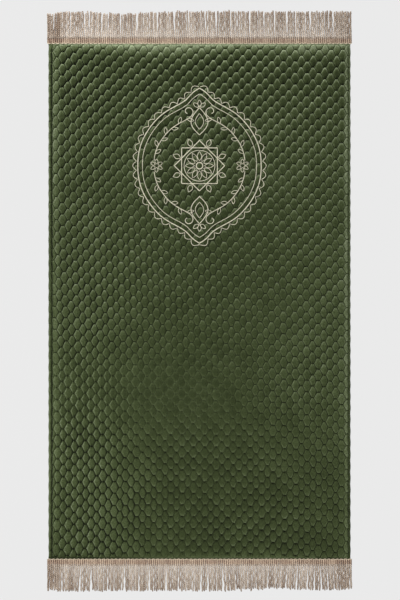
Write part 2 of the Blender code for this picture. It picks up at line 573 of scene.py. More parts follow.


# Painted light and shade on the pile, matched to the photograph: the whole cloth first, and
# then patches from a hand to the whole rug wide
PAINTED_LIGHT = (
    PaintedLightPatch((0.0, 0.0), (9.0, 9.0), 0.01, 0.72, -0.05, -2.1, (0.85, 1.05, 0.0, -0.6)),
    PaintedLightPatch((0.08, -0.49), (0.38, 0.19), bar=-0.6, line=1.25, slopes=(-2.2, 1.7, -1.2, 0.4)),
    PaintedLightPatch((-0.27, -0.14), (0.09, 1.1), 0.05, 0.2, -0.55, 0.6, (-0.2, -1.1, 1.9, -0.8)),
    PaintedLightPatch((0.0, -0.26), (0.14, 1.8), -0.08, -0.1, 0.3, 1.0, (0.1, -0.4, 0.0, -0.6)),
    PaintedLightPatch((0.27, -0.04), (0.09, 0.24), 0.3, -0.35, -0.6, -1.0, (1.4, -0.9, 1.2, 0.1)),
    PaintedLightPatch((0.0, 0.49), (9.0, 0.33), -0.17, 0.2, 0.3, -0.9, (2.6, -2.2, 1.4, -0.85)),
    PaintedLightPatch((-0.22, 0.08), (0.21, 0.16), 0.18, -0.2, 1.0, -1.0, (1.2, -0.2, -0.3, -0.5)),
    PaintedLightPatch((0.14, 0.61), (0.27, 0.59), 0.02, 0.3, 0.3, -0.5, (3.6, -1.1, -0.8, 1.3)),
    PaintedLightPatch((-0.16, -0.45), (0.07, 0.07), 0.15, -0.3, 1.0, -0.7, (-0.2, 1.4, -1.4, -0.7)),
    PaintedLightPatch((0.0, -0.3), (0.21, 0.07), 0.05, 0.0, -0.2, 1.0, (-1.7, 0.8, -0.6, 0.4)),
    PaintedLightPatch((-0.22, -0.45), (0.1, 0.38), 0.25, -0.2, -0.8, -0.3, (0.1, -1.5, 2.3, -0.9)),
    PaintedLightPatch((-0.19, -0.19), (0.27, 0.08), -0.2, 0.3, 0.1, 1.8, (-0.7, -0.2, -0.5, 0.6)),
    PaintedLightPatch((0.0, 0.34), (9.0, 0.1), 0.1, 0.1, -0.3, -1.0, (-0.7, 0.1, 1.1, 0.0)),
    PaintedLightPatch((0.22, -0.19), (0.1, 0.11), 0.0, 0.3, -0.6, -1.1, (0.4, -0.2, 0.7, -0.5)),
    PaintedLightPatch((0.27, -0.57), (0.07, 0.17), bar=0.2, line=-0.8, slopes=(0.5, -0.6, 0.0, 0.0)),
    PaintedLightPatch((-0.22, 0.04), (0.12, 0.12), 0.05, -0.3, 0.8, -0.7, (1.2, -0.7, -1.3, -0.5)),
    # Painted highlight where the padding rolls down to a seam, most of all at the top, and painted shade
    # in the seam
    PaintedLightPatch((0.0, 0.553), (9.0, 0.011), 1.6),
    PaintedLightPatch((-0.08, 0.545), (0.13, 0.018), 1.7),
    PaintedLightPatch((0.23, 0.538), (0.08, 0.012), 1.3),
    PaintedLightPatch((-0.306, 0.1), (0.006, 0.4), 0.6),
    PaintedLightPatch((-0.306, 0.42), (0.009, 0.12), 0.5),
    PaintedLightPatch((-0.3152, 0.0), (0.0026, 9.0), -0.35),
    PaintedLightPatch((-0.313, -0.35), (0.0032, 0.3), -0.45),
    PaintedLightPatch((-0.3215, 0.0), (0.0022, 9.0), -0.2),
    PaintedLightPatch((0.3145, 0.1), (0.0036, 0.7), 2.1),
    PaintedLightPatch((0.306, -0.1), (0.006, 0.4), 0.35),
    PaintedLightPatch((0.3155, 0.4), (0.005, 0.18), 0.8),
    PaintedLightPatch((0.3194, 0.0), (0.0016, 9.0), -0.35),
    PaintedLightPatch((0.323, 0.35), (0.0022, 0.4), 1.8),
    PaintedLightPatch((0.0, -0.551), (9.0, 0.004), -0.45),
)


@dataclass
class CellField:
    """The flat pattern of cells: its points, what each of them carries, and its faces."""

    points: list[Flat] = field(default_factory=list)
    values: list[tuple[float, ...]] = field(default_factory=list)
    faces: list[tuple[int, ...]] = field(default_factory=list)
    shared: dict[tuple, int] = field(default_factory=dict)

    def add(self, place: Flat, *values: float) -> int:
        """Add one point.

        Args:
            place: its x and y.
            values: its padding height, tone, rim, bar and line.

        Returns:
            Its number.
        """
        self.points.append((place[0], place[1]))
        self.values.append(values)
        return len(self.points) - 1

    def fill(self, centre: int, inner: list[list[int]], ring: list[int]) -> None:
        """Fill one cell with faces.

        Args:
            centre: its middle point.
            inner: its rings from the inside out, of six, twelve and twelve points.
            ring: the twelve groove points round it.
        """
        core, mid, rim = inner
        for side in range(6):
            after = (side + 1) % 6
            self.faces += [(centre, core[side], core[after]),
                           (core[side], mid[2 * side], mid[2 * side + 1]),
                           (core[side], mid[2 * side + 1], core[after]),
                           (core[after], mid[2 * side + 1], mid[(2 * side + 2) % 12])]
        for near, far in ((mid, rim), (rim, ring)):
            for side in range(12):
                after = (side + 1) % 12
                self.faces.append((near[side], far[side], far[after], near[after]))

    def mesh(self) -> bmesh.types.BMesh:
        """Turn the pattern into a mesh.

        Returns:
            A mesh whose z holds the padding's share, with tone, rim, bar and line as layers.
        """
        bm = bmesh.new()
        layers = [bm.verts.layers.float.new(name) for name in ("tone", "rim", "bar", "line")]
        made = []
        for (x, y), (height, *others) in zip(self.points, self.values):
            vert = bm.verts.new((x, y, height))
            for layer, value in zip(layers, others):
                vert[layer] = value
            made.append(vert)
        for face in self.faces:
            bm.faces.new([made[number] for number in face])
        return bm


@dataclass
class QuiltedPanel:
    """The padded velvet cloth with its side hems and end margins."""

    quilting: Quilting
    patches: tuple[PaintedLightPatch, ...] = PAINTED_LIGHT
    width: float = 650 * MM
    length: float = 1120 * MM
    # widths of the left and right hem
    hems: Flat = (9.8 * MM, 5.6 * MM)
    # the seam across each end, and the step from it down to the margin under the heading
    end_seam: float = 550 * MM
    end_step: float = 1.2 * MM
    margin_z: float = 2.0 * MM
    seam_z: float = 2.6 * MM
    end_seam_z: float = 4.0 * MM
    groove_z: float = 3.9 * MM
    puff_height: float = 4.7 * MM
    edge_z: float = 1.5 * MM
    hem_rise: float = 2.6 * MM
    side_roll: float = 14 * MM
    end_roll: float = 20 * MM
    # how far a hem is drawn in, and how far the quilting's pinches pull it to and fro
    hem_draw: float = 1.2 * MM
    pinch: float = 0.9 * MM
    underside_inset: float = 0.4 * MM
    # extra lines of points beside a side seam, along a hem and beside an end seam
    seam_lines: tuple[float, ...] = (0.0, -1.6 * MM, 1.6 * MM, -3.9 * MM)
    hem_line: float = 0.78
    end_lines: tuple[float, ...] = (0.0, 1.2 * MM, -1.5 * MM, -4.5 * MM)
    # how unevenly the cells are filled, and how unevenly light they are
    lifts: Flat = (0.86, 1.08)
    cell_tones: Flat = (0.89, 1.11)
    # limits of the painted light and shade, as a factor on the pile's colour
    darkest: float = 0.08
    lightest: float = 6.0
    # which of a cell's six sides are short bars
    bar_sides: tuple[int, ...] = (1, 4)
    # the short bars are narrower in every other column, and the cells between them wider
    bar_shares: Flat = (1.38, 0.98)
    # rings round a cell: how far out, then the height towards a corner, slant and short bar
    rings: tuple[tuple[float, ...], ...] = (
        (0.45, 0.99, 0.99, 0.99),
        (0.71, 0.90, 0.93, 0.87),
        (0.87, 0.67, 0.76, 0.56),
    )
    # the rim starts this far out in a cell, and is all rim this much further
    rim_start: float = 0.6
    rim_depth: float = 0.35
    # the groove itself, by corner, slant and bar: its height, and its share of rim and bar
    groove: tuple[float, ...] = (0.16, 0.40, 0.0)
    rim_shares: tuple[float, ...] = (1.0, 1.0, 0.0)
    bar_nearness: tuple[float, ...] = (0.5, 0.0, 1.0)

    def spot(self, number: int) -> Spot:
        """Say what the number-th point round a cell is."""
        if number % 2 == 0:
            return Spot.CORNER
        return Spot.BAR if number // 2 in self.bar_sides else Spot.SLANT

    def painted_light_factor(self, x: float, y: float, normal: Vector, rim: float, bar: float,
            line: float) -> float:
        """Painted light and shade on the pile: how much lighter a slope is painted, by the way it faces
        and where it is.

        Args:
            x: place across the rug.
            y: place along the rug.
            normal: the way the slope faces.
            rim: nearness to a groove, 0 to 1.
            bar: nearness to a short bar, 0 to 1.
            line: 1 on the stitched line itself, else 0.

        Returns:
            A factor on the velvet's colour.
        """
        slope_y, slope_x = abs(normal.y) ** 1.2, abs(normal.x) ** 1.2
        light = 1.0
        for patch in self.patches:
            up, down, left, right = patch.slopes
            light += patch.weight(x, y) * (
                patch.even + patch.rim * rim + patch.bar * bar + patch.line * line
                + (up if normal.y > 0.0 else down) * slope_y
                + (right if normal.x > 0.0 else left) * slope_x)
        return min(self.lightest, max(self.darkest, light))

    def groove_point(self, cells: CellField, place: Flat, spot: Spot) -> int:
        """Add a point on the stitched line round a cell, and give its number."""
        return cells.add(place, self.groove[spot], 1.0, self.rim_shares[spot],
                         self.bar_nearness[spot], 1.0)

    def outline(self, column: int, row: int, cells: CellField,
                rng: random.Random) -> list[int]:
        """Find or make the twelve groove points round one cell.

        Args:
            column: the cell's column.
            row: the cell's row.
            cells: the pattern, which grows.
            rng: source of the small unevenness of the stitching.

        Returns:
            Numbers of the twelve points, corner and middle in turn.
        """
        half, wander = self.quilting.bar / 2, self.quilting.wander
        numbers = []
        for key in ((column + 1, row, -half), (column, row + 1, half),
                    (column, row + 1, -half), (column - 1, row, half),
                    (column, row - 1, -half), (column, row - 1, half)):
            if key not in cells.shared:
                share = self.bar_shares[key[0] % 2]
                x, y = self.quilting.place(key[0], key[1], key[2] * share)
                place = x + rng.uniform(-wander, wander), y + rng.uniform(-wander, wander)
                cells.shared[key] = self.groove_point(cells, place, Spot.CORNER)
            numbers.append(cells.shared[key])
        ring = []
        for side, (start, end) in enumerate(zip(numbers, numbers[1:] + numbers[:1])):
            key = (min(start, end), max(start, end))
            if key not in cells.shared:
                place = np.add(cells.points[start], cells.points[end]) / 2
                cells.shared[key] = self.groove_point(cells, place, self.spot(2 * side + 1))
            ring += [start, cells.shared[key]]
        return ring

    def draw_cell(self, column: int, row: int, cells: CellField, rng: random.Random) -> None:
        """Draw one cell, a little fuller or flatter and lighter or darker than others.

        Args:
            column: its column.
            row: its row.
            cells: the pattern, which grows.
            rng: source of the unevenness.
        """
        ring = self.outline(column, row, cells, rng)
        middle = np.mean([cells.points[number] for number in ring[::2]], axis=0)
        lift, tone = rng.uniform(*self.lifts), rng.uniform(*self.cell_tones)
        inner: list[list[int]] = []
        for reach, *heights in self.rings:
            near = max(0.0, (reach - self.rim_start) / self.rim_depth)
            own = []
            # The innermost ring has a point for each corner only
            for number in range(0, len(ring), 1 if inner else 2):
                spot = self.spot(number)
                place = middle + (np.array(cells.points[ring[number]]) - middle) * reach
                own.append(cells.add(place, heights[spot] * lift, tone,
                                     near * self.rim_shares[spot],
                                     near * self.bar_nearness[spot], 0.0))
            inner.append(own)
        cells.fill(cells.add(middle, lift, tone, 0.0, 0.0, 0.0), inner, ring)

    def draw_pattern(self) -> bmesh.types.BMesh:
        """Draw the flat pattern of cells, wider than the cloth.

        Returns:
            The pattern as a mesh.
        """
        rng = random.Random(3)
        cells = CellField()
        columns = int(self.width / CELL_WIDTH) + 4
        rows = int(self.length / CELL_HEIGHT) + 4
        for column in range(-columns, columns + 1):
            for row in range(-rows, rows + 1):
                if (column + row) % 2 == 0:
                    self.draw_cell(column, row, cells, rng)
        return cells.mesh()

    @staticmethod
    def cut(bm: bmesh.types.BMesh, axis: int, places: Flat, clear: bool = False) -> None:
        """Cut the pattern along a line on both sides of the rug.

        Args:
            bm: the pattern.
            axis: 0 for a line across X, 1 for one across Y.
            places: how far the lines are from the middle, on the low side and the high side.
            clear: whether what lies outside them goes.
        """
        for side, place in zip((-1, 1), places):
            normal, middle = [0.0] * 3, [0.0] * 3
            normal[axis], middle[axis] = side, side * place
            bmesh.ops.bisect_plane(bm, geom=bm.verts[:] + bm.edges[:] + bm.faces[:],
                                   dist=2e-5, plane_co=middle, plane_no=normal,
                                   clear_outer=clear)

    def inset(self, x: float) -> Flat:
        """Say how far inside the near side seam a place is, and how wide that hem is."""
        hem = self.hems[0] if x < 0.0 else self.hems[1]
        return self.width / 2 - hem - abs(x), hem

    @staticmethod
    def rolled(inset: float, depth: float) -> float:
        """Say how far the padding has risen a way inside a seam, along a quarter circle."""
        return math.sqrt(1.0 - (1.0 - min(1.0, inset / depth)) ** 2)

    def height(self, x: float, y: float, puff: float) -> float:
        """Height of the velvet face.

        Args:
            x: place across the rug.
            y: place along the rug.
            puff: the padding's share there.

        Returns:
            Metres above the floor.
        """
        inset_x, hem = self.inset(x)
        inset_y = self.end_seam - abs(y)
        if inset_y <= 0.0:
            down = min(1.0, -inset_y / self.end_step)
            return self.end_seam_z + (self.margin_z - self.end_seam_z) * down
        end_roll = self.rolled(inset_y, self.end_roll)
        if inset_x <= 0.0:
            share = min(1.0, -inset_x / hem)
            bow = math.sin(math.pi * min(1.0, share * 1.02)) ** 0.6
            fall = (self.seam_z - self.edge_z) * max(0.0, share - 0.6) / 0.4
            dent = 0.45 + 0.55 * min(1.0, puff * 2.0)
            return self.seam_z - fall + self.hem_rise * dent * bow * end_roll
        side_roll = self.rolled(inset_x, self.side_roll)
        low = self.end_seam_z + (self.groove_z - self.end_seam_z) * end_roll
        base = self.seam_z + (low - self.seam_z) * side_roll
        # The wadding is fuller in some places than in others, over a hand's width
        fill = 1.0 + 0.22 * noise.noise(Vector((x / 0.08, y / 0.08, 3.0)))
        wave = 0.6 * MM * noise.noise(Vector((x / 0.11, y / 0.11, 7.0)))
        return base + (puff * self.puff_height * fill + wave) * side_roll * end_roll

    def shift(self, x: float, y: float) -> float:
        """Say how far a place near a side is pulled across by the quilting's pinches.

        Args:
            x: place across the rug.
            y: place along the rug.

        Returns:
            Metres outwards.
        """
        inset, hem = self.inset(x)
        hemmed = clamped(-1.5 * inset / hem)
        pull = bell(inset, 3.9 * MM, 5 * MM) + 0.4 * hemmed
        turn = (y - self.quilting.drift(x, y)[1]) / CELL_HEIGHT
        wave = math.sin(math.tau * turn) + 0.5 * noise.noise(Vector((x, y / 0.05, 1.0)))
        return self.pinch * pull * wave - self.hem_draw * hemmed

    def cut_seams(self, bm: bmesh.types.BMesh) -> None:
        """Trim the pattern to the cloth, then cut it along its seams and beside them.

        Args:
            bm: the pattern.
        """
        self.cut(bm, 0, (self.width / 2, self.width / 2), clear=True)
        self.cut(bm, 1, (self.length / 2, self.length / 2), clear=True)
        seams = [self.width / 2 - hem for hem in self.hems]
        for out in self.seam_lines:
            self.cut(bm, 0, (seams[0] + out, seams[1] + out))
        self.cut(bm, 0, (seams[0] + self.hem_line * self.hems[0],
                         seams[1] + self.hem_line * self.hems[1]))
        for out in self.end_lines:
            self.cut(bm, 1, (self.end_seam + out, self.end_seam + out))

    def fill_padding(self, bm: bmesh.types.BMesh) -> None:
        """Raise the flat pattern to the velvet face, and keep how full it is as a layer.

        Args:
            bm: the pattern.
        """
        puff = bm.verts.layers.float.new("puff")
        for vert in bm.verts:
            share = vert.co.z
            inside = self.inset(vert.co.x)[0]
            near_end = 1.0 - min(1.0, (self.end_seam - abs(vert.co.y)) / self.end_roll)
            vert[puff] = max(share, 0.6 * near_end)
            if abs(inside) <= 0.2 * MM:
                vert[puff] = 0.0
            elif inside < 0.0:
                vert[puff] = min(1.0, 0.1 + share * 2.0)
            vert.co.z = self.height(vert.co.x, vert.co.y, share)
        bm.normal_update()

    def paint_light_and_shade(self, bm: bmesh.types.BMesh) -> None:
        """Paint light and shade into the pile's tone by the way its slopes face, and pull the sides to and
        fro.

        Args:
            bm: the velvet face.
        """
        tone, rim, bar, line = (bm.verts.layers.float[name]
                                for name in ("tone", "rim", "bar", "line"))
        for vert in bm.verts:
            x, y = vert.co.x, vert.co.y
            # Painted light and shade, multiplied into each point's tone
            vert[tone] *= self.painted_light_factor(x, y, vert.normal, vert[rim], vert[bar], vert[line])
            outwards = self.shift(x, y)
            vert.co.x += outwards if x > 0.0 else -outwards

    def close_under(self, bm: bmesh.types.BMesh) -> None:
        """Close the cloth with its edges and its flat underside.

        Args:
            bm: the velvet face.
        """
        rim = [edge for edge in bm.edges if edge.is_boundary]
        grown = bmesh.ops.extrude_edge_only(bm, edges=rim)["geom"]
        for item in grown:
            if isinstance(item, bmesh.types.BMVert):
                item.co.z = 0.0
                item.co.x -= math.copysign(self.underside_inset, item.co.x)
        low = [item for item in grown if isinstance(item, bmesh.types.BMEdge)
               and all(vert.co.z < 1e-6 for vert in item.verts)]
        bottom = bmesh.ops.triangle_fill(bm, edges=low, use_beauty=True)["geom"]
        for item in bottom:
            if isinstance(item, bmesh.types.BMFace):
                item.material_index = 1
        bmesh.ops.recalc_face_normals(bm, faces=bm.faces)

    def build(self, face: bpy.types.Material, back: bpy.types.Material) -> bpy.types.Object:
        """Make the whole cloth as one closed body.

        Args:
            face: the velvet.
            back: the backing's finish.

        Returns:
            The panel.
        """
        bm = self.draw_pattern()
        self.cut_seams(bm)
        self.fill_padding(bm)
        self.paint_light_and_shade(bm)
        self.close_under(bm)
        mesh = bpy.data.meshes.new("panel")
        bm.to_mesh(mesh)
        bm.free()
        mesh.shade_smooth()
        mesh.set_sharp_from_angle(angle=math.radians(75))
        return finish_piece(mesh, "velvet_panel", [face, back])


def face_of(panel: bpy.types.Object) -> BVHTree:
    """Make a search tree of the cloth's faces, for thread that lies on it."""
    return BVHTree.FromPolygons([vert.co for vert in panel.data.vertices],
                                [face.vertices for face in panel.data.polygons])


def height_on(surface: BVHTree, x: float, y: float) -> float:
    """Find the cloth's height at a place, looking down from well above it."""
    return surface.ray_cast(Vector((x, y, 50 * MM)), DOWN)[0].z


def lengths_along(path: np.ndarray) -> np.ndarray:
    """Say how far along a path each of its points is."""
    return np.concatenate([[0.0], np.cumsum(np.hypot(*np.diff(path, axis=0).T))])


@dataclass(frozen=True)
class Stroke:
    """One stitched line of the ornament, in millimetres from its middle."""

    path: tuple[Flat, ...]
    width: float = 2.0

    def moved(self, change: Callable[[Flat], Flat]) -> "Stroke":
        """Return the same line with each of its points changed."""
        return Stroke(tuple(change(spot) for spot in self.path), self.width)


@dataclass
class Ornament:
    """A plain symmetrical medallion of satin stitch on the upper half of the cloth."""

    middle: Flat = (0.0, 289.6 * MM)
    # distance between two of a ribbon's cross-sections, and how high its thread stands
    step: float = 2.0 * MM
    rise: float = 0.9 * MM
    # its drawing is in millimetres, as are the lengths and line widths in its motifs
    half_width: float = 132.0
    half_height: float = 166.0
    scallops: int = 46
    scallop_steps: int = 6
    stem_steps: int = 24
    curl_steps: int = 18
    leaf_angle: float = 42.0
    # the thread's cross-section: share across, share of its rise, and how much lighter: a painted
    # highlight on its top and painted shade at its lower edges
    section: tuple[Point, ...] = ((1.0, -0.3, -0.12), (0.62, 0.7, 0.0), (0.0, 1.0, 0.1),
                                  (-0.62, 0.7, 0.0), (-1.0, -0.3, -0.12), (0.0, -0.7, 0.0))
    thread_tones: Flat = (0.42, 0.62)

    @staticmethod
    def turn(angle: float, out: float = 0.0, up: float = 0.0) -> Callable[[Flat], Flat]:
        """Give a change that turns a motif, drawn upright, about the middle.

        Args:
            angle: degrees, clockwise from straight up.
            out: how far along that way it is moved first.
            up: how far up it is moved last.

        Returns:
            The change of one point.
        """
        sine, cosine = math.sin(math.radians(angle)), math.cos(math.radians(angle))

        def change(spot: Flat) -> Flat:
            """Turn and move one point."""
            x, y = spot[0], spot[1] + out
            return x * cosine + y * sine, y * cosine - x * sine + up

        return change

    @staticmethod
    def place(x: float = 0.0, y: float = 0.0, side: int = 1,
              up: int = 1) -> Callable[[Flat], Flat]:
        """Give a change that mirrors a motif and then moves it.

        Args:
            x: how far to the right it is moved.
            y: how far up it is moved.
            side: -1 to mirror it left to right, else 1.
            up: -1 to mirror it upside down, else 1.

        Returns:
            The change of one point.
        """
        return lambda spot: (spot[0] * side + x, spot[1] * up + y)

    @staticmethod
    def petal(length: float, half: float, width: float) -> Stroke:
        """Draw an upright petal with its point up and its foot in the middle.

        Args:
            length: from foot to point.
            half: half its width.
            width: the line's width.

        Returns:
            The closed line.
        """
        side = [(half * math.sin(math.pi * s) ** 0.9 * (1.15 - 0.5 * s), length * s ** 0.9)
                for s in (n / 9 for n in range(10))]
        return Stroke(tuple(side + [(-x, y) for x, y in reversed(side[:-1])]), width)

    @staticmethod
    def polygon(radius: float, width: float, corners: int = 36, offset: float = 0.0) -> Stroke:
        """Draw a regular polygon round the middle, or a circle where it has many corners.

        Args:
            radius: from the middle to a corner.
            width: the line's width.
            corners: how many corners.
            offset: degrees of its first corner from straight up.

        Returns:
            The closed line.
        """
        turns = [math.radians(offset + 360 * n / corners) for n in range(corners + 1)]
        return Stroke(tuple((radius * math.sin(a), radius * math.cos(a)) for a in turns), width)

    def ogive(self, share: float, way: float) -> Flat:
        """Find a point of the pointed frame.

        Args:
            share: size against the whole frame.
            way: 0 to 1, round it clockwise from the top point.

        Returns:
            The point.
        """
        angle = math.tau * way
        height = math.cos(angle)
        swell = 1.0 - abs(height) ** 2.3
        waist = 1.0 - 0.30 * bell(abs(height), 0.86, 0.11)
        side = math.copysign(swell * waist, math.sin(angle))
        return side * self.half_width * share, height * self.half_height * share

    def frame(self) -> list[Stroke]:
        """Draw the pointed frame: two lines with scallops outside them."""
        lines = []
        for share, width in ((1.0, 2.4), (0.925, 1.5)):
            lines.append(Stroke(tuple(self.ogive(share, n / 160) for n in range(161)), width))
        edge = np.array([self.ogive(1.0, n / 720) for n in range(721)])
        along = lengths_along(edge)
        steps = self.scallops * self.scallop_steps
        spots = []
        for n in range(steps + 1):
            at = along[-1] * n / steps
            before, (x, y), after = (np.array([np.interp(place, along, edge[:, k])
                                               for k in (0, 1)])
                                     for place in (at - 1.0, at, at + 1.0))
            ahead = (after - before) / max(1e-6, float(np.linalg.norm(after - before)))
            bulge = 3.0 + 8.0 * abs(math.sin(math.pi * n / self.scallop_steps))
            spots.append((x - ahead[1] * bulge, y + ahead[0] * bulge))
        lines.append(Stroke(tuple(spots), 1.5))
        return lines

    def star(self) -> list[Stroke]:
        """Draw the eight-pointed star with its rosette and the buds between its points."""
        lines = [self.polygon(54.0, 2.2, corners=4), self.polygon(54.0, 2.2, 4, offset=45.0),
                 self.polygon(33.0, 1.6), self.polygon(7.0, 2.6)]
        petal = self.petal(20.0, 5.0, 1.4)
        lines += [petal.moved(self.turn(30.0 * n, 10.5)) for n in range(12)]
        bud = self.petal(17.0, 5.5, 1.6)
        lines += [bud.moved(self.turn(22.5 + 45.0 * n, 44.0)) for n in range(8)]
        return lines

    def pendant(self) -> list[Stroke]:
        """Draw the upper pendant: a nested drop, crowned with three petals."""
        drops = [self.petal(58.0, 20.0, 2.0).moved(self.turn(0.0, up=66.0)),
                 self.petal(34.0, 10.0, 1.5).moved(self.turn(0.0, up=78.0))]
        crown = self.petal(15.0, 4.2, 1.5)
        drops += [crown.moved(self.turn(angle, 2.0, 124.0)) for angle in (-52.0, 0.0, 52.0)]
        return drops

    def sprig(self) -> list[Stroke]:
        """Draw the upper right sprig: a curved stem that ends in a curl, with leaves."""
        stem = []
        # The stem runs inside the frame, from its side to near its top
        for n in range(self.stem_steps + 1):
            share = n / self.stem_steps
            x, y = self.ogive(0.74, 0.235 - 0.155 * share)
            stem.append((x - 2.0 * share, y))
        x, y = stem[-1]
        ahead = math.atan2(y - stem[-2][1], x - stem[-2][0])
        # The curl: steps that turn by the same angle and get shorter
        for n in range(self.curl_steps):
            ahead -= 0.30
            reach = 3.4 - 0.13 * n
            x, y = x + reach * math.cos(ahead), y + reach * math.sin(ahead)
            stem.append((x, y))
        lines = [Stroke(tuple(stem), 1.9)]
        leaf = self.petal(15.0, 3.6, 1.4)
        for number, at in enumerate(range(3, self.stem_steps, 3)):
            before, here = stem[at - 1], stem[at]
            heading = math.degrees(math.atan2(here[0] - before[0], here[1] - before[1]))
            angle = heading + (self.leaf_angle if number % 2 else -self.leaf_angle)
            lines.append(leaf.moved(self.turn(angle)).moved(self.place(*here)))
        return lines

    def strokes(self) -> list[Stroke]:
        """Gather every line of the ornament.

        Returns:
            The lines, in millimetres from its middle.
        """
        lines = self.frame() + self.star()
        for up in (1, -1):
            lines += [line.moved(self.place(up=up)) for line in self.pendant()]
            for side in (1, -1):
                lines += [line.moved(self.place(side=side, up=up)) for line in self.sprig()]
        flower = self.petal(11.0, 3.8, 1.4)
        for side in (1, -1):
            lines += [flower.moved(self.turn(60.0 * n, 3.5)).moved(self.place(side * 92.0))
                      for n in range(6)]
        return lines

    def lay(self, stroke: Stroke, tubes: TubeMaker, surface: BVHTree,
            rng: random.Random) -> None:
        """Lay one line on the cloth as a low crowned ribbon of thread.

        Args:
            stroke: the line.
            tubes: collects the ribbons.
            surface: the velvet face.
            rng: source of the small unevenness of the thread.
        """
        path = np.array(stroke.path) * MM + np.array(self.middle)
        lengths = lengths_along(path)
        count = max(3, round(lengths[-1] / self.step))
        marks = np.linspace(0.0, lengths[-1], count + 1)
        spots = np.stack([np.interp(marks, lengths, path[:, k]) for k in (0, 1)], axis=1)
        ahead = np.gradient(spots, axis=0)
        ahead /= np.maximum(1e-9, np.linalg.norm(ahead, axis=1, keepdims=True))
        right = np.stack([ahead[:, 1], -ahead[:, 0]], axis=1)
        half = stroke.width * MM / 2
        # The ribbon lies on the highest cloth under it, and bridges the narrow grooves
        heights = [max(height_on(surface, *(spot + across * half * share))
                       for share in (-1.0, 0.0, 1.0)) for spot, across in zip(spots, right)]
        padded = np.pad(np.array(heights), 1, mode="edge")
        level = np.maximum(heights, (padded[:-2] + padded[1:-1] + padded[2:]) / 3)
        sections, tones = [], []
        for spot, across, z in zip(spots, right, level):
            tone = rng.uniform(*self.thread_tones)
            ring = []
            for share, lift, _ in self.section:
                x, y = spot + across * half * share
                ring.append((float(x), float(y), float(z) + self.rise * lift))
            sections.append(ring)
            tones.append([tone + painted_light_offset for _, _, painted_light_offset in self.section])
        tubes.add(sections, tones, rng.uniform(0.0, 0.01))

    def build(self, panel: bpy.types.Object, thread: bpy.types.Material) -> bpy.types.Object:
        """Stitch the ornament.

        Args:
            panel: the cloth it lies on.
            thread: its finish.

        Returns:
            The ornament.
        """
        surface = face_of(panel)
        tubes = TubeMaker()
        rng = random.Random(5)
        for stroke in self.strokes():
            self.lay(stroke, tubes, surface, rng)
        return finish_piece(tubes.build(), "satin_stitch_medallion", [thread])


@dataclass
class HemStitching:
    """Straight stitches along both side hems."""

    # how far from the middle the left and right hem is sewn
    seams: Flat = (315.3 * MM, 319.5 * MM)
    half_length: float = 547 * MM
    pitch: float = 4.6 * MM
    length: float = 3.1 * MM
    thread_radius: float = 0.55 * MM
    thread_sides: int = 5
    rise: float = 0.25 * MM
    wander: float = 0.25 * MM
    # share of a stitch's length, and how thick it is there
    section: tuple[Flat, ...] = ((0.0, 0.35), (0.3, 1.0), (0.7, 1.0), (1.0, 0.35))

    def build(self, panel: bpy.types.Object, thread: bpy.types.Material) -> bpy.types.Object:
        """Stitch both hems.

        Args:
            panel: the cloth they are in.
            thread: their finish.

        Returns:
            The stitches of both sides.
        """
        surface = face_of(panel)
        tubes = TubeMaker()
        rng = random.Random(11)
        angles = [math.tau * side / self.thread_sides for side in range(self.thread_sides)]
        tones = [[0.5] * self.thread_sides] * len(self.section)
        for side, seam in zip((-1, 1), self.seams):
            for number in range(round(2 * self.half_length / self.pitch)):
                x = side * seam + rng.uniform(-self.wander, self.wander)
                start = -self.half_length + number * self.pitch
                sections = []
                for share, thickness in self.section:
                    y = start + share * self.length
                    z = height_on(surface, x, y) + self.rise * thickness
                    size = self.thread_radius * thickness
                    sections.append([(x + size * math.cos(a), y, z + size * math.sin(a))
                                     for a in angles])
                tubes.add(sections, tones)
        return finish_piece(tubes.build(), "hem_stitching", [thread])


